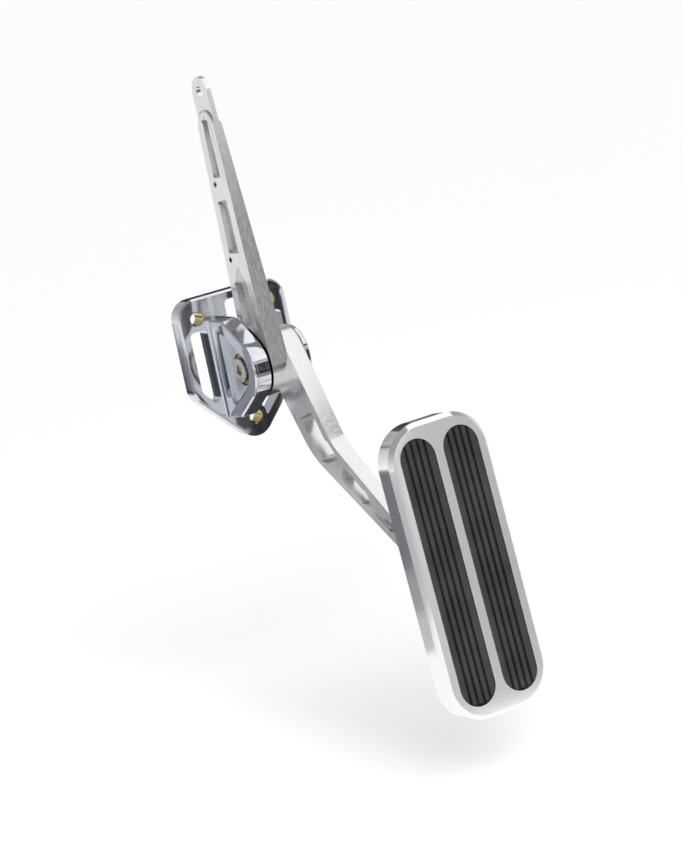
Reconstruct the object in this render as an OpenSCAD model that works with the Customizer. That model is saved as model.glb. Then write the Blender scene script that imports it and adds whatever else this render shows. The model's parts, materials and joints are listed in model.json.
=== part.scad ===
// Accelerator pedal: firewall bracket, two-piece lever, framed pad with ribbed rubber inserts.
// Millimetres. Origin: firewall face, midway between the two upper mounting holes.
// +X is the driver's right and the pivot direction, +Y goes into the firewall, +Z is up.

/* [Firewall bracket] */
// Width of the mounting plate
plate_w = 61; // [56:0.5:70]
// Thickness of the mounting plate
plate_t = 8.5; // [6:0.5:12]
// Corner radius of the plate, also the distance of a hole centre from the plate's edge
plate_corner_r = 10; // [9:0.5:11.5]
// Diameter of the three mounting holes
mount_hole_d = 6.6; // [5:0.1:8]
// Height of the lower corners below the upper holes
shoulder_drop = 34; // [30:0.5:40]
// Depth of the lower mounting hole below the upper holes
lower_hole_drop = 55; // [52:0.5:62]
// Bevel round the front face of the plate
plate_bevel = 1; // [0.5:0.1:1.5]
// Wall between a window and the straight sides of the plate
plate_rim = 4.5; // [3.5:0.1:6]
// Half size of the boss left round each hole
hole_boss = 6.2; // [5.8:0.1:6.4]
// Corner radius of the plate's windows beside the lug
window_r = 2.5; // [1:0.1:3]

/* [Pivot lug] */
// Thickness of the lug
lug_t = 9.5; // [8:0.1:11]
// Distance of the pivot axis from the front face of the plate
pivot_reach = 22; // [20:0.5:30]
// Drop of the pivot axis below the upper holes
pivot_drop = 26.6; // [24:0.1:29]
// Radius of the lug's nose and of both lever hubs
hub_r = 16; // [15:0.5:18]
// Half height of the lug where it leaves the plate
lug_half_h = 24.5; // [21:0.5:26]
// Length of the lug's straight root
lug_root = 13.5; // [10:0.5:15]
// Depth of the pocket milled in the left face
lug_pocket_depth = 2; // [1:0.1:2.5]
// Width of the polished rim round the pocket
lug_rim = 6.5; // [5:0.1:7.5]
// Radius of the root fillets
root_fillet = 1.2; // [0.5:0.1:2]
// Flat left between a root fillet and the window beside it
root_land = 0.3; // [0.2:0.1:1]

/* [Pivot] */
// Diameter of the pivot bolt's shoulder
shaft_d = 9.5; // [8:0.1:11]
// Radial play of the shoulder in bushings and hubs
shaft_play = 0.04; // [0.02:0.01:0.08]
// Wall of the bronze bushings
bush_wall = 1.5; // [1:0.1:2]
// Radius of the bushing flanges
flange_r = 7.8; // [7:0.1:8.2]
// Thickness of the bushing flanges
flange_t = 1; // [0.8:0.1:1.5]
// Side play between a rotating face and a fixed face
side_play = 0.3; // [0.2:0.05:0.5]
// Radius of the pivot bolt's head
head_r = 6; // [5.5:0.1:6.5]
// Height of the pivot bolt's head
head_h = 2.6; // [2:0.1:3]
// Radius of the end cap
cap_r = 15; // [14.7:0.1:15.5]
// Thickness of the end cap
cap_t = 3.2; // [3:0.1:5]
// Thickness of the washer behind the end cap
cap_washer_t = 0.8; // [0.5:0.1:1.5]
// Diameter of the screw in the end cap
cap_screw_d = 5; // [4:0.1:5.5]
// Distance of the hub screws and dowels from the pivot axis
hub_ring_r = 10.4; // [10:0.1:10.8]
// Diameter of the hub screws and dowels
hub_pin_d = 4; // [3:0.1:4.4]

/* [Upper lever] */
// Thickness of each lever at its hub
lever_t = 9.5; // [8:0.1:11]
// Height of the cable hole above the pivot
cable_rise = 135; // [120:1:150]
// Distance of the cable hole behind the pivot, toward the firewall
cable_set = 5; // [2:0.5:7]
// Diameter of the cable hole
cable_hole_d = 6; // [4:0.1:7]
// Radius of the lever's tip
tip_r = 7.4; // [6.5:0.1:8.5]
// Thickness of the tapered lever at its tip
tip_t = 3.6; // [3.2:0.1:5]
// Thickness of the thin tongue round the cable hole
tongue_t = 2.6; // [2:0.1:3]
// Drop from the cable hole to the centre of the thicker blade's round nose
tongue_l = 15.3; // [14:0.1:20]
// Distance of the lever's back edge behind the pivot, at the hub
upper_back = 9.8; // [8:0.1:12]
// Edge left beside the lightening windows
upper_rim = 5.6; // [4.5:0.1:6]
// Web between two windows of the upper lever
upper_web = 6.6; // [5:0.1:9]
// Radius of the fillet between the hub and the lever's back edge
neck_r = 6; // [3:0.5:9]
// Step at each side of a window's pointed end
barb = 1.2; // [0.5:0.1:1.6]

/* [Lower lever] */
// Lean of the upper leg's front edge from vertical
leg_lean = 28.3; // [24:0.1:32]
// Lean that the upper leg's back edge adds, so that the leg narrows downward
leg_taper = 1.9; // [0:0.1:3]
// Lean of the lower leg's front edge from vertical
shin_lean = 52.3; // [48:0.1:56]
// Distance of the bend from the pivot, along the front edge
bend_reach = 54.8; // [52:0.2:58]
// Length of the lower leg's narrowing stretch
shin_taper_l = 62; // [56:1:66]
// Distance of the back edge from the pivot axis
lower_back = 8; // [7:0.1:10]
// Width of the lower leg at the bend
shin_w = 17.5; // [15:0.1:20]
// Width of the lower leg where it enters the pad foot
ankle_w = 11.5; // [10.5:0.1:13]
// Thickness of the lower lever at the pad foot
ankle_t = 6.4; // [5.5:0.1:8]
// Edge left beside the lightening windows
lower_rim = 4.2; // [3.2:0.1:4.5]

/* [Pad] */
// Width of the pad
pad_w = 54; // [52:0.5:60]
// Length of the pad
pad_l = 140; // [125:1:150]
// Thickness of the pad
pad_t = 12; // [10:0.5:14]
// Corner radius of the pad
pad_corner_r = 19; // [15:0.5:22]
// Bevel round the pad's face
pad_bevel = 2; // [1:0.1:2.5]
// Backward lean of the pad's face
pad_tilt = 6; // [0:0.5:12]
// Distance of the pad's centre in front of the pivot
pad_reach = 138; // [136:0.5:142]
// Drop of the pad's centre below the pivot
pad_drop = 92; // [90:0.5:96]
// Width of each rubber insert
insert_w = 18.8; // [16:0.1:20]
// Length of each rubber insert
insert_l = 126; // [110:1:130]
// Width of the metal bar between the inserts
bar_w = 4.6; // [3.5:0.1:6]
// Depth of the insert pockets
pocket_d = 5; // [4:0.1:6]
// Depth of the rubber's top below the pad's face
insert_sink = 0.2; // [0:0.1:1]
// Number of ribs on each insert
ribs = 5; // [4:1:6]
// Distance from groove to groove
rib_pitch = 3.5; // [3.2:0.1:3.8]
// Width of the grooves between ribs
groove_w = 1.2; // [0.8:0.1:1.4]
// Depth of the grooves
groove_d = 2.4; // [1.5:0.1:3]

/* [Pad foot] */
// Width of the foot's base
foot_w = 34; // [32:0.5:38]
// Length of the foot's base
foot_l = 40; // [34:1:44]
// Thickness of the foot's base
foot_t = 6; // [5:0.5:8]
// Thickness of each cheek
cheek_t = 4.5; // [3.5:0.1:6]
// Diameter of the screws through the cheeks and the pad
screw_d = 5; // [4:0.1:5]
// Distance between the two cheek screws
foot_pitch = 12; // [10:0.5:14]
// Distance of the pad screws from the middle of the foot, along the pad
pad_screw_set = 13.5; // [11:0.5:15]

/* [Hidden] */
$fn = 96;
// Overshoot of cutting shapes
over = 1;
// Bevel cutters overshoot by less, so that they stay beside their edge
nib = 0.4;
// Round corners are this much larger, so that they cross their straight sides instead of grazing them
cross_by = 0.002;
// Reach of a round corner's circle past the points where it leaves the sides
lens_reach = 0.6;
// Radial clearance of a screw in its hole
screw_play = 0.05;
// Small break of a plain edge
edge_break = 0.4;
// Bevel of the lug's outline, the radius of its two knees, and that of its pocket's corners
lug_bevel = 0.8;
knee_r = 4;
pocket_r = 2;
// Straight stretch left beside a hole boss's round corner
boss_flat = 0.6;
// Gap between the two bushing sleeves
bush_gap = 0.2;
up = [0, 1];

metal = [0.80, 0.81, 0.82];
polished = [0.72, 0.74, 0.78];
bronze = [0.66, 0.56, 0.34];
steel = [0.55, 0.56, 0.58];
rubber = [0.11, 0.11, 0.12];

// Plane geometry
function unit(v) = v / norm(v);
function left_of(d) = [-d[1], d[0]];
function turn(a, b) = a[0] * b[1] - a[1] * b[0];
function wrap(p, i) = p[(i + len(p)) % len(p)];
function mid(a, b) = (a + b) / 2;
// Direction that leans from straight down toward the driver
function heading(lean) = [sin(lean), -cos(lean)];
// Point where the line through a along da meets the line through b along db
function meet(a, da, b, db) = a + da * turn(b - a, db) / turn(da, db);
// Point where a line from q touches a circle; side is 1 or -1
function touch(q, c, r, side) =
    let (a = atan2(q[1] - c[1], q[0] - c[0]) + side * acos(r / norm(q - c)))
    c + r * [cos(a), sin(a)];
// Sharp corners of the outline that runs at distance r outside the anticlockwise polygon c
function grown(c, r) = [for (i = [0:len(c) - 1])
    let (d0 = unit(c[i] - wrap(c, i - 1)), d1 = unit(wrap(c, i + 1) - c[i]))
    meet(c[i] - left_of(d0) * r, d0, c[i] - left_of(d1) * r, d1)];
// Corner i of outline p rounded by r[i]: tangent points, centre, radius, and 1 where it is convex
function soft_corner(p, r, i) =
    let (a = unit(wrap(p, i - 1) - p[i]), b = unit(wrap(p, i + 1) - p[i]), half = acos(a * b) / 2)
    [p[i] + a * r[i] / tan(half), p[i] + b * r[i] / tan(half), p[i] + unit(a + b) * r[i] / sin(half),
     r[i], turn(-a, b) > 0 ? 1 : -1];
function soft_corners(p, r) = [for (i = [0:len(p) - 1]) soft_corner(p, r, i)];
function same(value, p) = [for (i = p) value];

// The piece of corner k's circle near the sharp corner at tip
module corner_lens(k, tip) {
    before = unit(k[0] - tip) * lens_reach;
    after = unit(k[1] - tip) * lens_reach;
    inward = unit(before + after) * lens_reach;
    intersection() {
        translate(k[2]) circle(k[3] + cross_by);
        polygon([k[0] + before + inward, k[0] + before - inward, tip - inward,
            k[1] + after - inward, k[1] + after + inward]);
    }
}

// Outline p, anticlockwise, with corner i rounded by r[i]
module soft_outline(p, r) {
    corners = soft_corners(p, r);
    difference() {
        union() {
            polygon([for (k = corners) each (k[3] > 0 ? [k[0], k[1]] : [k[0]])]);
            for (i = [0:len(p) - 1]) if (corners[i][4] > 0 && r[i] > 0) corner_lens(corners[i], p[i]);
        }
        for (i = [0:len(p) - 1]) if (corners[i][4] < 0 && r[i] > 0) corner_lens(corners[i], p[i]);
    }
}

// Cutter that bevels the rim of a body under z = 0, along a convex outline
module bevel_cutter(p, r, bevel) {
    corners = soft_corners(p, r);
    section = [[-bevel - nib, nib], [nib, -bevel - nib], [nib, nib]];
    for (i = [0:len(corners) - 1]) {
        k = corners[i];
        a = k[1];
        b = wrap(corners, i + 1)[0];
        run = unit(b - a) * nib;
        along = atan2(run[1], run[0]);
        // Runs on past both ends, where it passes outside the round corners
        translate(b + run) rotate([90, 0, along - 90]) linear_extrude(norm(b - a) + 2 * nib) polygon(section);
        if (k[3] > 0) {
            start = atan2(k[0][1] - k[2][1], k[0][0] - k[2][0]);
            end = atan2(k[1][1] - k[2][1], k[1][0] - k[2][0]);
            translate(k[2]) rotate([0, 0, start]) rotate_extrude(angle = (end - start + 360) % 360)
                translate([k[3] + cross_by, 0]) polygon(section);
        }
    }
}

// Plate of thickness t over an outline, bevelled at its lower and upper rims
module bevelled_plate(p, r, t, lower, upper) {
    difference() {
        linear_extrude(t) soft_outline(p, r);
        translate([0, 0, t]) bevel_cutter(p, r, upper);
        mirror([0, 0, 1]) bevel_cutter(p, r, lower);
    }
}

// Ring or disc along +X from x0 to x1
module rod(x0, x1, r) {
    translate([x0, 0, 0]) rotate([0, 90, 0]) cylinder(h = x1 - x0, r = r);
}

// Children's z runs to the left from x1; their x points to the driver and their y points up
module side_frame(x1) {
    translate([x1, 0, 0]) rotate([90, 0, -90]) children();
}

// Side outline made solid from x0 to x1
module side_slab(x0, x1) {
    side_frame(x1) linear_extrude(x1 - x0) children();
}

// Front outline made solid over the whole depth
module front_slab(depth) {
    rotate([90, 0, 0]) linear_extrude(depth, center = true) children();
}

// Children's z points out of the firewall to the driver; their x stays and their y points up
module wall_frame() {
    rotate([90, 0, 0]) children();
}

// Flat-head screw along +X with its face at x = 0
module flat_screw(length, d, head) {
    cone = (head - d) / 2;
    socket = d / 2;
    color(steel) difference() {
        union() {
            rod(-length, 0, d / 2);
            translate([-cone, 0, 0]) rotate([0, 90, 0]) cylinder(h = cone, r1 = d / 2, r2 = head / 2);
        }
        translate([-cone, 0, 0]) rotate([0, 90, 0]) cylinder(h = cone + over, d = socket / cos(30), $fn = 6);
    }
}

// Hole and seat for such a screw, opening at x = 0
module flat_seat(length, d, head) {
    cone = (head - d) / 2;
    hole = d / 2 + screw_play;
    rod(-length, over, hole);
    translate([-cone, 0, 0]) rotate([0, 90, 0])
        cylinder(h = cone + over, r1 = hole, r2 = head / 2 + screw_play + over);
}

// Firewall bracket
hole_x = plate_w / 2 - plate_corner_r;
hole_centres = [[-hole_x, -shoulder_drop], [0, -lower_hole_drop], [hole_x, -shoulder_drop], [hole_x, 0], [-hole_x, 0]];
mount_holes = [[-hole_x, 0], [hole_x, 0], [0, -lower_hole_drop]];
pivot_y = -(plate_t + pivot_reach);
pivot_z = -pivot_drop;
// Stack along the pivot, from left to right
upper_left_x = -lever_t / 2;
lower_left_x = lever_t / 2;
hub_right_x = lever_t * 3 / 2;
cap_left_x = hub_right_x + cap_washer_t;
lug_right_x = upper_left_x - 2 * side_play;
lug_left_x = lug_right_x - lug_t;
left_seat_x = lug_left_x + head_h + side_play + flange_t;
right_seat_x = lug_right_x + side_play - flange_t;
bore_r = shaft_d / 2 + shaft_play;
bush_r = bore_r + bush_wall;
counterbore_r = flange_r + 0.4;

module at_pivot() {
    translate([0, pivot_y, pivot_z]) children();
}

// Lug outline about the pivot, or the same outline moved inward by rim
function lug_outline(rim, root) =
    let (knee = [-pivot_reach + lug_root, -lug_half_h], slope = unit(touch(knee, [0, 0], hub_r, 1) - knee),
         start = knee + left_of(slope) * rim, across = [1, 0],
         low = meet(start, slope, [0, rim - lug_half_h], across), nose = meet(start, slope, [0, 0], across))
    [[-pivot_reach + root, low[1]], low, nose, [low[0], -low[1]], [-pivot_reach + root, -low[1]]];

// Slot at the left of the lug, and the larger window at its right, which runs round two hole bosses
module plate_windows() {
    soft = plate_corner_r - plate_rim;
    inner = grown(hole_centres, soft);
    lug_land = root_fillet + root_land;
    slot_right = lug_left_x - lug_land;
    left = lug_right_x + lug_land;
    right = plate_w / 2 - plate_rim;
    boss_top = hole_boss - lower_hole_drop;
    boss_r = hole_boss - boss_flat;
    soft_outline([[-right, -hole_boss], inner[0],
        meet(inner[0], inner[1] - inner[0], [slot_right, 0], up), [slot_right, -hole_boss]],
        [window_r, soft, window_r, window_r]);
    soft_outline([[left, soft], [left, boss_top], [hole_boss, boss_top],
        meet(inner[1], inner[2] - inner[1], [hole_boss, 0], up), inner[2],
        [right, -hole_boss], [hole_x - hole_boss, -hole_boss], [hole_x - hole_boss, soft]],
        [window_r, window_r, boss_r, boss_flat, soft, window_r, boss_r, window_r]);
}

// Fillet along a vertical inner corner at the origin, between a wall at its left and one behind it
module inner_fillet(r, l) {
    linear_extrude(l, center = true) difference() {
        translate([-over, -r]) square([r + over, r + over]);
        translate([r, -r]) circle(r);
    }
}

module root_fillets() {
    l = 2 * lug_half_h;
    translate([lug_right_x, -plate_t, pivot_z]) inner_fillet(root_fillet, l);
    translate([lug_left_x, -plate_t, pivot_z]) mirror([1, 0, 0]) inner_fillet(root_fillet, l);
}

module lug_blank() {
    outline = lug_outline(0, -over);
    side_frame(lug_right_x)
        bevelled_plate(outline, [0, knee_r, hub_r, knee_r, 0], lug_t, lug_bevel, lug_bevel);
}

module firewall_bracket() {
    outline = grown(hole_centres, plate_corner_r);
    pocket = lug_outline(lug_rim, lug_rim + 2);
    color(polished) difference() {
        union() {
            wall_frame() difference() {
                bevelled_plate(outline, same(plate_corner_r, outline), plate_t, edge_break, plate_bevel);
                translate([0, 0, -over]) linear_extrude(plate_t + 2 * over) plate_windows();
            }
            at_pivot() lug_blank();
            root_fillets();
        }
        for (c = mount_holes) translate([c[0], 0, c[1]]) wall_frame() {
            translate([0, 0, -over]) cylinder(h = plate_t + 2 * over, d = mount_hole_d);
            translate([0, 0, plate_t - edge_break])
                cylinder(h = edge_break + over, r1 = mount_hole_d / 2, r2 = mount_hole_d / 2 + edge_break + over);
        }
        at_pivot() {
            side_slab(lug_left_x - over, lug_left_x + lug_pocket_depth)
                soft_outline(pocket, [pocket_r, pocket_r, hub_r - lug_rim, pocket_r, pocket_r]);
            rod(lug_left_x - over, left_seat_x, counterbore_r);
            rod(lug_left_x, lug_right_x + over, bush_r);
            rod(right_seat_x, lug_right_x + over, counterbore_r);
        }
    }
}

// Flanged bushing from x0 to x1, whose flange starts at flange_x
module bushing(x0, x1, flange_x) {
    color(bronze) at_pivot() difference() {
        union() {
            rod(x0, x1, bush_r);
            rod(flange_x, flange_x + flange_t, flange_r);
        }
        rod(x0 - over, x1 + over, bore_r);
    }
}

module bushing_left() {
    start = left_seat_x - flange_t;
    bushing(start, mid(left_seat_x, right_seat_x) - bush_gap / 2, start);
}

module bushing_right() {
    bushing(mid(left_seat_x, right_seat_x) + bush_gap / 2, right_seat_x + flange_t, right_seat_x);
}

module pivot_bolt() {
    color(steel) at_pivot() difference() {
        union() {
            rod(lug_left_x, lug_left_x + head_h, head_r);
            rod(lug_left_x + head_h, cap_left_x, shaft_d / 2);
        }
        translate([lug_left_x - over, 0, 0]) rotate([0, 90, 0]) cylinder(h = head_h - 0.6 + over, d = 5 / cos(30), $fn = 6);
        rod(cap_left_x - cap_screw_l, cap_left_x + over, cap_screw_d / 2 + screw_play);
    }
}

// End cap and its screw
cap_screw_l = 12;
cap_screw_head = 10;

module cap_washer() {
    color(steel) at_pivot() difference() {
        rod(hub_right_x, cap_left_x, cap_r - 3);
        rod(hub_right_x - over, cap_left_x + over, bore_r);
    }
}

module end_cap() {
    color(polished) at_pivot() difference() {
        rotate([0, 90, 0]) rotate_extrude() polygon([[0, cap_left_x], [cap_r - 0.5, cap_left_x], [cap_r, cap_left_x + 0.5],
            [cap_r, cap_left_x + cap_t - 0.8], [cap_r - 0.8, cap_left_x + cap_t], [0, cap_left_x + cap_t]]);
        translate([cap_left_x + cap_t, 0, 0]) flat_seat(cap_t + over, cap_screw_d, cap_screw_head);
    }
}

module cap_screw() {
    at_pivot() translate([cap_left_x + cap_t, 0, 0]) flat_screw(cap_t + cap_screw_l - 1, cap_screw_d, cap_screw_head);
}

// Screws and dowels that lock the two hubs together
hub_head = hub_pin_d + 3;
hub_screw_l = lever_t + 7;
dowel_l = 11;
hub_screw_sites = [hub_ring_r, -hub_ring_r];

module at_hub(forward, up) {
    at_pivot() translate([0, -forward, up]) children();
}

module hub_seats() {
    for (f = hub_screw_sites) at_hub(f, 0) translate([hub_right_x, 0, 0]) flat_seat(hub_screw_l + 0.5, hub_pin_d, hub_head);
    for (u = hub_screw_sites) at_hub(0, u) rod(lower_left_x - dowel_l / 2 - 0.3, lower_left_x + dowel_l / 2 + 0.3, hub_pin_d / 2);
}

module hub_screw(forward) {
    at_hub(forward, 0) translate([hub_right_x, 0, 0]) flat_screw(hub_screw_l, hub_pin_d, hub_head);
}

module hub_dowel(up) {
    color(steel) at_hub(0, up) rod(lower_left_x - dowel_l / 2, lower_left_x + dowel_l / 2, hub_pin_d / 2);
}

module hub_screw_front() { hub_screw(hub_ring_r); }
module hub_screw_rear() { hub_screw(-hub_ring_r); }
module hub_dowel_upper() { hub_dowel(hub_ring_r); }
module hub_dowel_lower() { hub_dowel(-hub_ring_r); }

// An edge of a lever: a point, a direction, and the direction into the metal.
// This is the point of the edge, moved in by rim, whose distance along axis is s.
function station(edge, rim, axis, s) =
    let (q = edge[0] + edge[2] * rim) q + edge[1] * (s - q * axis) / (edge[1] * axis);

// Lightening window with a pointed, barbed end, between two edges of a lever
module spear_window(front, back, axis, tail, base, tip, rim, barb) {
    polygon([station(back, rim, axis, tail), station(front, rim, axis, tail), station(front, rim, axis, base),
        station(front, rim - barb, axis, base),
        mid(station(front, rim, axis, tip), station(back, rim, axis, tip)),
        station(back, rim - barb, axis, base), station(back, rim, axis, base)]);
}

// Upper lever, its outline about the pivot
tip_at = [-cable_set, cable_rise];
front_angle = atan2(tip_at[1], tip_at[0]) - acos((hub_r - tip_r) / norm(tip_at));
front_out = [cos(front_angle), sin(front_angle)];
back_foot = [-upper_back, 0];
back_top = touch(back_foot, tip_at, tip_r, -1);
back_run = unit(back_top - back_foot);
back_out = left_of(back_run);
upper_front_edge = [front_out * hub_r, left_of(front_out), -front_out];
upper_back_edge = [back_foot, back_run, -back_out];
// Centre of the fillet that touches the back edge and the hub
neck_start = back_foot + back_out * neck_r;
neck_reach = neck_start * back_run;
neck_at = neck_start + back_run
    * (sqrt(pow(neck_reach, 2) - neck_start * neck_start + pow(hub_r + neck_r, 2)) - neck_reach);
// The thick blade ends at a round nose, set in from the tip's radius
nose_rise = cable_rise - tongue_l;
nose_r = tip_r - 0.8;
// Three windows of one length, between the hub and the nose
window_foot = hub_r + 2.5;
window_top = nose_rise + nose_r - 2.3;
upper_window_l = (window_top - window_foot - 2 * upper_web) / 3;
// Length of the pointed end of each window, from the lowest up
upper_points = [9.2, 6.4, 3.8];
// Diagonal of the diamond holes in the webs
diamond_size = 3.5;

function upper_tail(i) = window_foot + i * (upper_window_l + upper_web);

module upper_profile() {
    difference() {
        union() {
            circle(hub_r);
            translate(tip_at) circle(tip_r);
            polygon([back_foot, front_out * hub_r, tip_at + front_out * tip_r, back_top]);
            polygon([back_foot, back_foot - back_out, neck_at - back_out * (neck_r + over),
                neck_at - back_out * neck_r, unit(neck_at) * hub_r]);
        }
        translate(neck_at) circle(neck_r);
    }
}

module upper_windows() {
    for (i = [0:2]) {
        tip = upper_tail(i) + upper_window_l;
        spear_window(upper_front_edge, upper_back_edge, up, upper_tail(i), tip - upper_points[i], tip,
            upper_rim, barb);
    }
    for (i = [1, 2]) translate(station(upper_back_edge, upper_rim, up, upper_tail(i) - upper_web / 2))
        circle(d = diamond_size, $fn = 4);
}

module upper_lever() {
    top = cable_rise + tip_r + over;
    nose_at = mid(station(upper_front_edge, 0, up, nose_rise), station(upper_back_edge, 0, up, nose_rise));
    color(metal) difference() {
        at_pivot() intersection() {
            side_slab(upper_left_x, lower_left_x) upper_profile();
            front_slab(4 * hub_r) polygon([[-lever_t / 2, -hub_r - over], [lever_t / 2, -hub_r - over],
                [lever_t / 2, hub_r], [tip_t / 2, top], [-tip_t / 2, top], [-lever_t / 2, hub_r]]);
        }
        at_pivot() {
            rod(upper_left_x - over, lower_left_x + over, bore_r);
            side_slab(upper_left_x - over, lower_left_x + over) {
                translate(tip_at) circle(d = cable_hole_d);
                upper_windows();
            }
            // Thin tongue round the cable hole, ending at a round nose
            for (side = [[tongue_t / 2, lever_t / 2], [-lever_t / 2, -tongue_t / 2]])
                side_slab(side[0], side[1]) difference() {
                    translate([-4 * hub_r, nose_rise]) square([8 * hub_r, top]);
                    translate(nose_at) circle(nose_r);
                }
        }
        hub_seats();
    }
}

// Lower lever, its outline about the pivot
leg = heading(leg_lean);
shin = heading(shin_lean);
leg_back = heading(leg_lean + leg_taper);
leg_front_edge = [left_of(leg) * hub_r, leg, -left_of(leg)];
leg_back_edge = [-left_of(leg_back) * lower_back, leg_back, left_of(leg_back)];
bend_front = leg_front_edge[0] + leg * bend_reach;
shin_front_edge = [bend_front, shin, -left_of(shin)];
ankle_back = bend_front + shin * shin_taper_l - left_of(shin) * ankle_w;
shin_back_dir = unit(ankle_back - (bend_front - left_of(shin) * shin_w));
shin_back_edge = [ankle_back, shin_back_dir, left_of(shin_back_dir)];
bend_back = meet(leg_back_edge[0], leg_back, ankle_back, shin_back_dir);
// Pad directions: down the pad and out of its face
pad_down = heading(pad_tilt);
pad_out = left_of(pad_down);
pad_centre = [pad_reach, -pad_drop];
foot_line = pad_centre - pad_out * (pad_t + foot_t);
end_front = meet(bend_front, shin, foot_line, pad_down);
end_back = meet(ankle_back, shin, foot_line, pad_down);
ankle = mid(end_front, end_back);
// Distance of the first cheek screw from the end of the lever
foot_screw_first = 7;
foot_screw_at = [ankle - shin * foot_screw_first, ankle - shin * (foot_screw_first + foot_pitch)];
cheek_r = ankle_w / 2 + 1;
cheek_end = foot_screw_at[1] - shin * cheek_r;
lever_axis_lean = atan2(ankle[0], -ankle[1]);
lower_axis = heading(lever_axis_lean);
pad_x = lower_left_x + lever_t / 2;

module lower_profile() {
    circle(hub_r);
    soft_outline([leg_back_edge[0], bend_back, ankle_back, end_back, end_front, bend_front, leg_front_edge[0], [0, 0]],
        [0, 40, 60, 0, 0, 25, 0, 0]);
}

module lower_wedge() {
    full = hub_r;
    thin = cheek_end * lower_axis - cheek_r;
    far = norm(ankle) + 2 * ankle_w;
    translate([pad_x, 0, 0]) rotate([-lever_axis_lean, 0, 0]) front_slab(6 * hub_r)
        polygon([[-lever_t / 2, hub_r + over], [-lever_t / 2, -full], [-ankle_t / 2, -thin], [-ankle_t / 2, -far],
            [ankle_t / 2, -far], [ankle_t / 2, -thin], [lever_t / 2, -full], [lever_t / 2, hub_r + over]]);
}

// Tail of the upper leg's window, below the pivot along the leg
leg_tail = 32;
// Tail, base of the point and tip of each lower window, past the bend along the lower leg
shin_windows = [[11, 30, 37.5], [40.5, 53, 57]];

// The upper leg's window ends in a blunt point that turns toward the pad
module leg_window() {
    bend_s = bend_front * shin;
    barb_s = bend_reach - 4;
    blunt_s = bend_s + 8.5;
    polygon([station(leg_back_edge, lower_rim, leg, leg_tail), station(leg_front_edge, lower_rim, leg, leg_tail + 2),
        station(leg_front_edge, lower_rim, leg, barb_s), station(leg_front_edge, lower_rim - barb, leg, barb_s),
        station(shin_front_edge, lower_rim, shin, blunt_s), station(shin_front_edge, 2 * lower_rim, shin, blunt_s),
        station(shin_back_edge, lower_rim - barb, shin, bend_s - 5),
        station(shin_back_edge, lower_rim + barb, shin, bend_s - 5)]);
}

module lower_windows() {
    shin_axis = unit(shin + shin_back_dir);
    bend_s = bend_front * shin_axis;
    leg_window();
    for (w = shin_windows)
        spear_window(shin_front_edge, shin_back_edge, shin_axis, bend_s + w[0], bend_s + w[1], bend_s + w[2],
            lower_rim, barb);
}

module lower_lever() {
    color(metal) difference() {
        at_pivot() intersection() {
            side_slab(lower_left_x, hub_right_x) lower_profile();
            lower_wedge();
        }
        at_pivot() {
            rod(lower_left_x - over, hub_right_x + over, bore_r);
            side_slab(lower_left_x - over, hub_right_x + over) {
                lower_windows();
                for (s = foot_screw_at) translate(s) circle(screw_d / 2 + screw_play);
            }
        }
        hub_seats();
    }
}

// Pad, drawn with x to the right, y up along the pad and z out of its face
foot_down = (ankle - pad_centre) * pad_down;
insert_x = (bar_w + insert_w) / 2;
screw_head = screw_d + 4;
pad_screw_l = pad_t - pocket_d + foot_t - 0.5;

module pad_frame() {
    at_pivot() translate([pad_x, -pad_reach, -pad_drop]) rotate([90 - pad_tilt, 0, 0]) children();
}

module stadium(w, l) {
    square([w, l - w], center = true);
    for (side = [-1, 1]) translate([0, side * (l - w) / 2]) circle(w / 2);
}

module at_pad_screw(side, row) {
    pad_frame() translate([side * insert_x, row * pad_screw_set - foot_down, -pocket_d]) rotate([0, -90, 0]) children();
}

module pad_screw_seats() {
    for (side = [-1, 1], row = [-1, 1]) at_pad_screw(side, row) flat_seat(pad_t + foot_t, screw_d, screw_head);
}

module pad_plate() {
    cx = pad_w / 2 - pad_corner_r;
    cy = pad_l / 2 - pad_corner_r;
    centres = [[-cx, -cy], [cx, -cy], [cx, cy], [-cx, cy]];
    color(metal) difference() {
        pad_frame() translate([0, 0, -pad_t])
            bevelled_plate(grown(centres, pad_corner_r), same(pad_corner_r, centres), pad_t, 0.6, pad_bevel);
        pad_frame() for (side = [-1, 1]) translate([side * insert_x, 0, -pocket_d])
            linear_extrude(pocket_d + over) stadium(insert_w, insert_l);
        pad_screw_seats();
    }
}

// Clearance of an insert in its pocket
insert_play = 0.05;
insert_top = -insert_sink;
groove_floor = insert_top - groove_d;
// Radii of a rib's top edges, of a groove's floor and of the ribs' ends
rib_soft = 0.8;
groove_soft = 0.3;
rib_end_r = 3;

// Edges of rib i, counted from the right
function rib_right(i) = i == 0 ? insert_w / 2 : ((ribs / 2 - i) * rib_pitch - groove_w / 2);
function rib_left(i) = i == ribs - 1 ? -insert_w / 2 : ((ribs / 2 - i - 1) * rib_pitch + groove_w / 2);

// Outline of the section from the lower left corner on, and the radius at each of its corners
insert_section = concat([[-insert_w / 2, -pocket_d], [insert_w / 2, -pocket_d]],
    [for (i = [0:ribs - 1]) each concat(i > 0 ? [[rib_right(i), groove_floor]] : [],
        [[rib_right(i), insert_top], [rib_left(i), insert_top]],
        i < ribs - 1 ? [[rib_left(i), groove_floor]] : [])]);
insert_soft = [for (k = insert_section) k[1] == insert_top ? rib_soft : (k[1] == groove_floor ? groove_soft : 0)];

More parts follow.
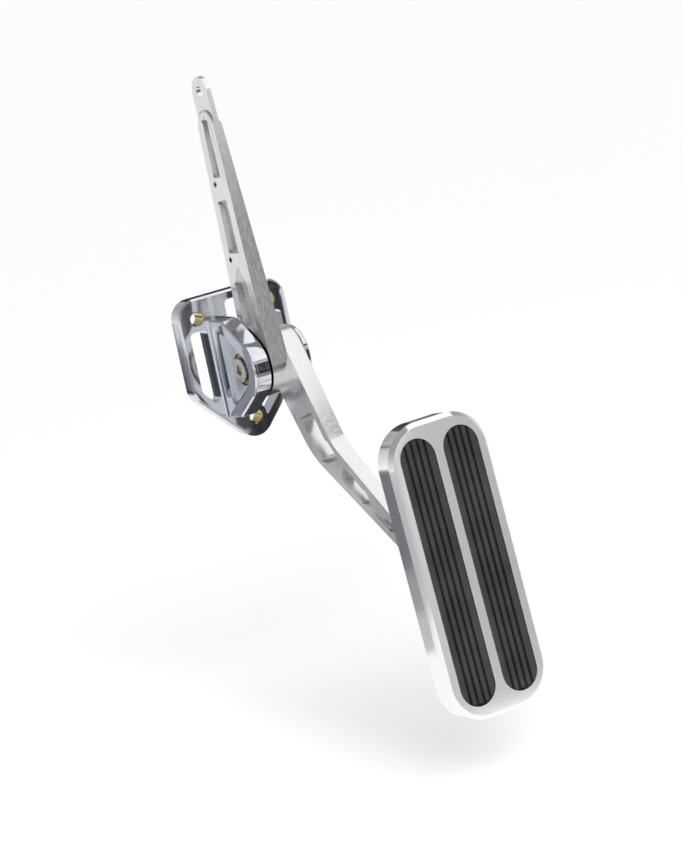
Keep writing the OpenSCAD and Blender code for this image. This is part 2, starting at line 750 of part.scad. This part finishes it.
// Ribbed rubber insert; side is -1 at the left and 1 at the right
module rubber_insert(side) {
    half = insert_l / 2;
    fit_w = insert_w - 2 * insert_play;
    color(rubber) pad_frame() translate([side * insert_x, 0, 0]) intersection() {
        translate([0, 0, -pocket_d]) linear_extrude(pocket_d) stadium(fit_w, insert_l - 2 * insert_play);
        rotate([90, 0, 0]) linear_extrude(insert_l, center = true) soft_outline(insert_section, insert_soft);
        // The ribs round off at both ends
        rotate([90, 0, 90]) linear_extrude(insert_w, center = true)
            soft_outline([[-half, -pocket_d], [half, -pocket_d], [half, insert_top], [-half, insert_top]],
                [0, 0, rib_end_r, rib_end_r]);
    }
}

module rubber_insert_left() { rubber_insert(-1); }
module rubber_insert_right() { rubber_insert(1); }

// Foot that joins the lower lever to the back of the pad
module pad_foot() {
    base_r = 5;
    cx = foot_w / 2 - base_r;
    cy = foot_l / 2 - base_r;
    centres = [[-cx, -cy], [cx, -cy], [cx, cy], [-cx, cy]];
    sink = pad_out * 1;
    n = left_of(shin);
    low = cheek_end - n * cheek_r;
    high = cheek_end + n * cheek_r;
    seat = foot_line + sink;
    cheek = [low, meet(low, shin, seat, pad_down), meet(high, shin, seat, pad_down), high];
    color(metal) difference() {
        union() {
            pad_frame() translate([0, -foot_down, -pad_t - foot_t])
                bevelled_plate(grown(centres, base_r), same(base_r, centres), foot_t, 0.8, 0.2);
            at_pivot() for (x = [pad_x - ankle_t / 2 - cheek_t, pad_x + ankle_t / 2])
                side_slab(x, x + cheek_t) soft_outline(cheek, [cheek_r - 0.5, 0, 0, cheek_r - 0.5]);
        }
        pad_screw_seats();
        for (s = foot_screw_at) at_pivot() translate([pad_x - ankle_t / 2 - cheek_t, -s[0], s[1]])
            mirror([1, 0, 0]) flat_seat(ankle_t + 2 * cheek_t + over, screw_d, screw_head - 1);
    }
}

module foot_screw(i) {
    at_pivot() translate([pad_x - ankle_t / 2 - cheek_t, -foot_screw_at[i][0], foot_screw_at[i][1]])
        mirror([1, 0, 0]) flat_screw(ankle_t + 2 * cheek_t, screw_d, screw_head - 1);
}

module foot_screw_inner() { foot_screw(0); }
module foot_screw_outer() { foot_screw(1); }

module pad_screw(side, row) {
    at_pad_screw(side, row) flat_screw(pad_screw_l, screw_d, screw_head);
}

module pad_screw_upper_left() { pad_screw(-1, 1); }
module pad_screw_upper_right() { pad_screw(1, 1); }
module pad_screw_lower_left() { pad_screw(-1, -1); }
module pad_screw_lower_right() { pad_screw(1, -1); }

firewall_bracket();
bushing_left();
bushing_right();
pivot_bolt();
upper_lever();
lower_lever();
hub_screw_front();
hub_screw_rear();
hub_dowel_upper();
hub_dowel_lower();
cap_washer();
end_cap();
cap_screw();
pad_plate();
rubber_insert_left();
rubber_insert_right();
pad_foot();
foot_screw_inner();
foot_screw_outer();
pad_screw_upper_left();
pad_screw_upper_right();
pad_screw_lower_left();
pad_screw_lower_right();
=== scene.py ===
# Accelerator pedal: finishes, softened copies of the machined pieces, studio and camera.
import json
import math

import bmesh
import bpy
from mathutils import Matrix, Vector


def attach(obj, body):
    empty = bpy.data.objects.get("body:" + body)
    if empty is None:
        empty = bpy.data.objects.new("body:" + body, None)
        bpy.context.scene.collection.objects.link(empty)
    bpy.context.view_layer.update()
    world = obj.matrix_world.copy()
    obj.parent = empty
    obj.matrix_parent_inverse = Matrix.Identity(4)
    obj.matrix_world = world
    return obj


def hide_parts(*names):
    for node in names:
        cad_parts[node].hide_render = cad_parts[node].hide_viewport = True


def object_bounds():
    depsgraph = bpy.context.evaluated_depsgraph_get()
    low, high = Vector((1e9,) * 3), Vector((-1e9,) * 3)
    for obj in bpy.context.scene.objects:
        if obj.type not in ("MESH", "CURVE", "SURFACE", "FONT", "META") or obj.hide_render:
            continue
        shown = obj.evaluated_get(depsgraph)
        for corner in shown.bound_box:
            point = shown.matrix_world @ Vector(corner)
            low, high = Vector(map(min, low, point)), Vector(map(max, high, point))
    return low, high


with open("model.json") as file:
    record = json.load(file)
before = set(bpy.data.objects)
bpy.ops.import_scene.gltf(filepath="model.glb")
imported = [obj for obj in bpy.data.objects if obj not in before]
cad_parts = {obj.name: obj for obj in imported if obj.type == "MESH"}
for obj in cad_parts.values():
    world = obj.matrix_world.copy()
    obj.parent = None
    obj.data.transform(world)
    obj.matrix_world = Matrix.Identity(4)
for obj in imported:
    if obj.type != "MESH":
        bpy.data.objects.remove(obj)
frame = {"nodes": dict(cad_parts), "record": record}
cad_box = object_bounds()
record = frame["record"]
MM = 0.001

# Camera at the photograph's viewing angle
AZIMUTH = math.radians(28.34)
ELEVATION = math.radians(10.71)
ROLL = math.radians(-11.985)
EYE = Vector((-626.15, -1254.86, 194.75)) * MM
FOCAL_PX = 2847.5
IMAGE_W = 683
SENSOR = 36
FAR_CLIP = 200

# Edge breaks of the machined pieces
SOFT_EDGES = {
    "firewall_bracket": 0.3 * MM,
    "upper_lever": 0.35 * MM,
    "lower_lever": 0.35 * MM,
    "pad_plate": 0.9 * MM,
    "pad_foot": 0.35 * MM,
    "end_cap": 0.2 * MM,
    "pivot_bolt": 0.2 * MM,
}
EDGE_STEPS = 3
SHARP = math.radians(28)
# Vertices closer than this are welded, and neighbour faces that turn less than this become one
WELD = 0.001 * MM
FLAT = math.radians(0.5)

# A metal's colour follows its tool marks by this share, and a cloud of this scale for the rest
MARK_SHARE = 0.6
CLOUD_SCALE = (35, 35, 35)

# The lug's milled pocket floor, and how far from it a point still counts as on it
POCKET_X = -12.85 * MM
POCKET_GAP = 0.15 * MM
POCKET_ROUGH = 0.30

# The mounting holes, whose walls get a gold painted reflection that reaches a little past them
MOUNTS = {mount["name"]: mount for mount in record["mounts"]}
HOLE_X = MOUNTS["upper_bolts"]["dims"]["spacing_x_mm"] / 2 * MM
HOLES = ((-HOLE_X, 0), (HOLE_X, 0), (0, MOUNTS["lower_bolt"]["pos_m"][2]))
PAINTED_REFLECTION_REACH = 0.4 * MM
PAINTED_REFLECTION_R = MOUNTS["upper_bolts"]["dims"]["hole_r_mm"] * MM + PAINTED_REFLECTION_REACH
PAINTED_REFLECTION_GOLD = (0.52, 0.42, 0.16, 1)

# The pad is polished where a face turns away from its front: the cosines where that starts and ends
PAD_FRONT = 0.97
PAD_SIDE = 0.85
PAD_POLISH = 0.13

BODY_OF = {node: body for body, nodes in record["behaviour"]["bodies"].items() for node in nodes}
SLOT_OF = {part["node"]: part["material_slot"] for part in record["subparts"]}

# The flags are placed from the pad's foot, and those that lie are a little above it
FOOT_Z = cad_box[0][2] - 0.5 * MM
LYING_Z = FOOT_Z + 4 * MM
# The pressed pad swings 42 mm lower, so the floor leaves room for it
FLOOR_DROP = 45 * MM
FLOOR_Z = FOOT_Z - FLOOR_DROP

# Studio, in metres
MIDDLE = (0, -0.05, -0.03)
FLOOR_SIZE = 120
FLOOR_SHADE = (0.8, 0.8, 0.8)
FLOOR_GLOW = 0.13
SUN_RAYS = Vector((0.72, 2.2, -1.0))
SUN_ANGLE = math.radians(34)
SUN_ENERGY = 5.0
OVERHEAD_PLACE = (0.405, -0.313, 0.693)
OVERHEAD_SIZE = (0.5, 1.4)
OVERHEAD_BRIGHTNESS = 0.88
SKY_HORIZON = 0.9
SKY_TOP = 0.36
SKY_FALL = 0.6
WHITE = (1, 1, 1)
BLACK = (0, 0, 0)


def linked(name, data):
    """An object of the scene that holds the data."""
    made = bpy.data.objects.new(name, data)
    bpy.context.collection.objects.link(made)
    return made


def camera():
    view = Vector((math.sin(AZIMUTH) * math.cos(ELEVATION), math.cos(AZIMUTH) * math.cos(ELEVATION),
                   -math.sin(ELEVATION)))
    level = view.cross(Vector((0, 0, 1))).normalized()
    upright = level.cross(view)
    right = math.cos(ROLL) * level + math.sin(ROLL) * upright
    up = -math.sin(ROLL) * level + math.cos(ROLL) * upright
    data = bpy.data.cameras.new("camera")
    data.sensor_fit = "HORIZONTAL"
    data.sensor_width = SENSOR
    data.lens = FOCAL_PX * SENSOR / IMAGE_W
    data.clip_end = FAR_CLIP
    made = linked("camera", data)
    made.matrix_world = Matrix.Translation(EYE) @ Matrix((right, up, -view)).transposed().to_4x4()
    bpy.context.scene.camera = made


# Materials

def new_material(name):
    made = bpy.data.materials.new(name)
    made.use_nodes = True
    return made, made.node_tree.nodes["Principled BSDF"]


def stretched(tree, scale):
    """Object coordinates, stretched so that noise on them has a direction."""
    place = tree.nodes.new("ShaderNodeTexCoord")
    mapping = tree.nodes.new("ShaderNodeMapping")
    mapping.inputs["Scale"].default_value = scale
    tree.links.new(place.outputs["Object"], mapping.inputs["Vector"])
    return mapping.outputs["Vector"]


def noise(tree, scale, detail=3):
    made = tree.nodes.new("ShaderNodeTexNoise")
    made.inputs["Scale"].default_value = 1.0
    made.inputs["Detail"].default_value = detail
    tree.links.new(stretched(tree, scale), made.inputs["Vector"])
    return made.outputs["Fac"]


def spread(tree, value, low, high, start=0.3, stop=0.7):
    """Maps a value to a range; noise stays near its middle, so that is the span it starts from."""
    made = tree.nodes.new("ShaderNodeMapRange")
    made.inputs["From Min"].default_value = start
    made.inputs["From Max"].default_value = stop
    made.inputs["To Min"].default_value = low
    made.inputs["To Max"].default_value = high
    tree.links.new(value, made.inputs["Value"])
    return made.outputs["Result"]


def tint(tree, value, dark, light):
    made = tree.nodes.new("ShaderNodeMix")
    made.data_type = "RGBA"
    made.inputs["A"].default_value = (*dark, 1)
    made.inputs["B"].default_value = (*light, 1)
    tree.links.new(value, made.inputs["Factor"])
    return made.outputs["Result"]


def bump(tree, shader, height, distance):
    made = tree.nodes.new("ShaderNodeBump")
    made.inputs["Distance"].default_value = distance
    tree.links.new(height, made.inputs["Height"])
    tree.links.new(made.outputs["Normal"], shader.inputs["Normal"])


def maths(tree, operation, value, *rest):
    made = tree.nodes.new("ShaderNodeMath")
    made.operation = operation
    for at, given in enumerate((value, *rest)):
        if isinstance(given, (int, float)):
            made.inputs[at].default_value = given
        else:
            tree.links.new(given, made.inputs[at])
    return made.outputs["Value"]


def along_axes(tree, coordinate):
    """The X, Y and Z of a texture coordinate, each by itself."""
    place = tree.nodes.new("ShaderNodeTexCoord").outputs[coordinate]
    split = tree.nodes.new("ShaderNodeSeparateXYZ")
    tree.links.new(place, split.inputs["Vector"])
    return split.outputs


def overlay(made, name, mask, value):
    """Puts value on a shader input where the mask is 1 and keeps what is there elsewhere."""
    tree = made.node_tree
    socket = tree.nodes["Principled BSDF"].inputs[name]
    below = socket.links[0].from_socket
    mix = tree.nodes.new("ShaderNodeMix")
    if name == "Base Color":
        mix.data_type = "RGBA"
    mix.inputs["B"].default_value = value
    tree.links.new(mask, mix.inputs["Factor"])
    tree.links.new(below, mix.inputs["A"])
    tree.links.new(mix.outputs["Result"], socket)


def metal(name, dark, light, rough, grain, depth):
    """Bare metal; the tool marks run along the axis with the smallest grain."""
    made, shader = new_material(name)
    tree = made.node_tree
    shader.inputs["Metallic"].default_value = 1.0
    marks = noise(tree, grain, detail=4)
    cloud = noise(tree, CLOUD_SCALE, detail=2)
    both = maths(tree, "ADD", spread(tree, marks, 0, MARK_SHARE), spread(tree, cloud, 0, 1 - MARK_SHARE))
    tree.links.new(tint(tree, both, dark, light), shader.inputs["Base Color"])
    tree.links.new(spread(tree, marks, *rough), shader.inputs["Roughness"])
    bump(tree, shader, marks, depth)
    return made


def bracket_metal():
    """Mirror polish, with a satin pocket floor and a gold reflection painted on the hole walls and a
    little past them.
    """
    made = metal("polished_aluminium", dark=(0.62, 0.64, 0.69), light=(0.70, 0.72, 0.77),
                 rough=(0.06, 0.11), grain=(400, 400, 60), depth=0.0015 * MM)
    tree = made.node_tree
    place = along_axes(tree, "Object")
    pocket = maths(tree, "COMPARE", place["X"], POCKET_X, POCKET_GAP)
    overlay(made, "Roughness", pocket, POCKET_ROUGH)
    # Gold reflection painted on the hole walls and in a ring just past them
    painted_reflection = 0
    for x, z in HOLES:
        across = maths(tree, "POWER", maths(tree, "SUBTRACT", place["X"], x), 2)
        upward = maths(tree, "POWER", maths(tree, "SUBTRACT", place["Z"], z), 2)
        ring = maths(tree, "LESS_THAN", maths(tree, "ADD", across, upward), PAINTED_REFLECTION_R ** 2)
        painted_reflection = maths(tree, "MAXIMUM", ring, painted_reflection)
    overlay(made, "Base Color", painted_reflection, PAINTED_REFLECTION_GOLD)
    return made


def lever_metal():
    return metal("brushed_aluminium", dark=(0.69, 0.69, 0.69), light=(0.81, 0.81, 0.80),
                 rough=(0.20, 0.27), grain=(1100, 1100, 300), depth=0.0022 * MM)


def pad_metal():
    """Satin on the face and polished on the walls and the rounded edge."""
    made = metal("satin_aluminium", dark=(0.89, 0.88, 0.89), light=(0.95, 0.94, 0.95),
                 rough=(0.34, 0.42), grain=(1500, 1500, 500), depth=0.0012 * MM)
    tree = made.node_tree
    facing = maths(tree, "ABSOLUTE", along_axes(tree, "Normal")["Y"])
    overlay(made, "Roughness", spread(tree, facing, 1, 0, PAD_SIDE, PAD_FRONT), PAD_POLISH)
    return made


def bronze():
    return metal("bearing_bronze", dark=(0.44, 0.34, 0.14), light=(0.58, 0.47, 0.22),
                 rough=(0.22, 0.34), grain=(900, 900, 900), depth=0.002 * MM)


def steel():
    return metal("turned_steel", dark=(0.50, 0.49, 0.44), light=(0.60, 0.59, 0.54),
                 rough=(0.20, 0.32), grain=(1200, 1200, 1200), depth=0.002 * MM)


def rubber():
    made, shader = new_material("rubber")
    tree = made.node_tree
    grain = noise(tree, (4000, 4000, 4000))
    cloud = noise(tree, (60, 60, 60), detail=2)
    shade = tint(tree, spread(tree, cloud, 0, 1), dark=(0.018, 0.017, 0.018), light=(0.028, 0.026, 0.027))
    tree.links.new(shade, shader.inputs["Base Color"])
    tree.links.new(spread(tree, grain, low=0.42, high=0.56), shader.inputs["Roughness"])
    shader.inputs["Specular IOR Level"].default_value = 0.28
    bump(tree, shader, grain, 0.03 * MM)
    return made


def shining(name, base, shade, strength):
    """A surface without gloss that gives off an even light."""
    made, shader = new_material(name)
    shader.inputs["Base Color"].default_value = (*base, 1)
    shader.inputs["Roughness"].default_value = 0.9
    shader.inputs["Specular IOR Level"].default_value = 0.0
    shader.inputs["Emission Color"].default_value = (*shade, 1)
    shader.inputs["Emission Strength"].default_value = strength
    return made


def materials():
    """The finish of each slot in the record."""
    return {
        "bracket_metal": bracket_metal(),
        "lever_metal": lever_metal(),
        "pad_metal": pad_metal(),
        "bronze": bronze(),
        "steel": steel(),
        "rubber": rubber(),
    }


# Pieces

def softened(node, finish):
    """A copy of a machined node whose sharp edges are broken, which stands for the node."""
    mesh = frame["nodes"][node].data.copy()
    work = bmesh.new()
    work.from_mesh(mesh)
    bmesh.ops.remove_doubles(work, verts=work.verts, dist=WELD)
    bmesh.ops.dissolve_limit(work, angle_limit=FLAT, verts=work.verts, edges=work.edges)
    work.to_mesh(mesh)
    work.free()
    made = linked(node + "_finished", mesh)
    mesh.materials.clear()
    mesh.materials.append(finish[SLOT_OF[node]])
    bevel = made.modifiers.new("edges", "BEVEL")
    bevel.width = SOFT_EDGES[node]
    bevel.segments = EDGE_STEPS
    bevel.limit_method = "ANGLE"
    bevel.angle_limit = SHARP
    bevel.harden_normals = True
    for face in mesh.polygons:
        face.use_smooth = True
    mesh.set_sharp_from_angle(angle=SHARP)
    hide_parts(node)
    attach(made, BODY_OF[node])


def paint(node, finish):
    for place in frame["nodes"][node].material_slots:
        place.link = "OBJECT"
        place.material = finish[SLOT_OF[node]]


def pieces(finish):
    for node in frame["nodes"]:
        if node in SOFT_EDGES:
            softened(node, finish)
        else:
            paint(node, finish)


# Studio

def aimed(place, target):
    """Turns local Z away from the target and keeps local X as near to world X as it goes."""
    back = (Vector(place) - Vector(target)).normalized()
    side = (Vector((1, 0, 0)) - back * back.x).normalized()
    return Matrix((side, back.cross(side), back)).transposed().to_euler()


def floor():
    bpy.ops.mesh.primitive_plane_add(size=FLOOR_SIZE, location=(0, 0, FLOOR_Z))
    made = bpy.context.object
    made.name = "floor"
    made.data.materials.append(shining("paper", FLOOR_SHADE, WHITE, FLOOR_GLOW))


def sky():
    """A world that is bright at the horizon, falls off upward and shows white to the camera."""
    world = bpy.data.worlds.new("studio")
    bpy.context.scene.world = world
    world.use_nodes = True
    tree = world.node_tree
    shader = tree.nodes["Background"]
    shader.inputs["Color"].default_value = (*WHITE, 1)
    fall = spread(tree, along_axes(tree, "Generated")["Z"], SKY_HORIZON, SKY_TOP, 0, SKY_FALL)
    seen = tree.nodes.new("ShaderNodeLightPath").outputs["Is Camera Ray"]
    tree.links.new(maths(tree, "MAXIMUM", fall, seen), shader.inputs["Strength"])


def sun():
    """The key light, which reflections leave out."""
    data = bpy.data.lights.new("key", "SUN")
    data.angle = SUN_ANGLE
    data.energy = SUN_ENERGY
    made = linked("key", data)
    made.visible_glossy = False
    made.rotation_euler = SUN_RAYS.to_track_quat("-Z", "Y").to_euler()


def overhead():
    """A softbox. Its brightness is that of its face, where 1 is white."""
    data = bpy.data.lights.new("overhead", "AREA")
    data.shape = "RECTANGLE"
    data.size, data.size_y = OVERHEAD_SIZE
    data.energy = OVERHEAD_BRIGHTNESS * math.pi * data.size * data.size_y
    made = linked("overhead", data)
    made.location = OVERHEAD_PLACE
    made.rotation_euler = aimed(OVERHEAD_PLACE, MIDDLE)


def grey(value, blue=0):
    """A shade of grey, with that much more blue in it."""
    return (value, value, value + blue)


def flag(name, place, target, size, shade):
    """A card of even shade, square to the line to its target, that only reflections show."""
    bpy.ops.mesh.primitive_plane_add(size=1)
    made = bpy.context.object
    made.name = name
    made.scale = (*size, 1)
    made.location = place
    made.rotation_euler = aimed(place, target)
    made.data.materials.append(shining(name, BLACK, shade, 1))
    made.visible_camera = False
    made.visible_shadow = False
    made.visible_diffuse = False


def lying(name, x, y, size, shade, z=LYING_Z):
    """A flag that lies level."""
    flag(name, (x, y, z), (x, y, z + 1), size, shade)


def flags_in_front():
    """What the polished fronts, the pad's lower half and the lever above its bend reflect."""
    flag("flag_ahead", (0.40, -0.74, 0), MIDDLE, (0.15, 0.30), grey(0.03, blue=0.005))
    lying("flag_ground", 0.34, -0.66, (0.28, 0.60), grey(0.03, blue=0.005))
    # These two lie just under flag_ground, which covers part of the first
    lying("flag_floor", 0.20, -0.45, (0.30, 0.36), grey(0.30), LYING_Z - MM)
    lying("flag_toe", 0.035, -0.232, (0.13, 0.08), grey(0.50), LYING_Z - MM)
    flag("flag_low", (0.50, -0.95, FOOT_Z + 0.07), MIDDLE, (0.8, 0.16), grey(0.95))
    flag("flag_bend", (0.126, -0.192, 0.066), (0.033, -0.065, -0.058), (0.06, 0.028), grey(0.05))


def flags_around():
    """What left faces, top faces and faces that look down reflect."""
    lying("flag_left", -0.37, 0.70, (0.4, 0.7), (0.32, 0.33, 0.37))
    flag("flag_back", (0.35, 1.2, 0.22), (0, 0, 0), (1.6, 0.55), grey(0.05, blue=0.01))
    lying("flag_under", 0.10, 0.10, (0.26, 0.26), grey(0.06, blue=0.005))


def flags_beside_pad():
    """What the pad's left wall reflects, from its top to its foot, and then its rounded edge."""
    wall = (-0.0175, -0.168, FOOT_Z + 0.04)
    flag("flag_wall", (-0.157, 0.10, wall[2]), wall, (0.10, 0.08), grey(0.17, blue=0.03))
    lying("flag_wall_far", -0.14, 0.055, (0.12, 0.085), grey(0.34, blue=0.02))
    lying("flag_wall_mid", -0.10, -0.022, (0.14, 0.069), grey(0.55, blue=0.01))
    edge = (-0.02, -0.168, FOOT_Z + 0.06)
    flag("flag_side", (-0.32, -0.05, edge[2]), edge, (0.26, 0.12), grey(0.07, blue=0.02))
    flag("flag_near", (-0.42, -0.37, edge[2]), edge, (0.26, 0.12), grey(0.50))


def flag_behind_slot():
    """What the wall of the plate's slot reflects."""
    flag("flag_slot", (-0.096, 0.15, -0.050), (-0.017, 0, -0.02), (0.0135, 0.06), grey(0.03, blue=0.005))


def studio():
    sky()
    sun()
    overhead()
    flags_in_front()
    flags_around()
    flags_beside_pad()
    flag_behind_slot()
    bpy.context.scene.view_settings.view_transform = "Standard"


camera()
pieces(materials())
floor()
studio()
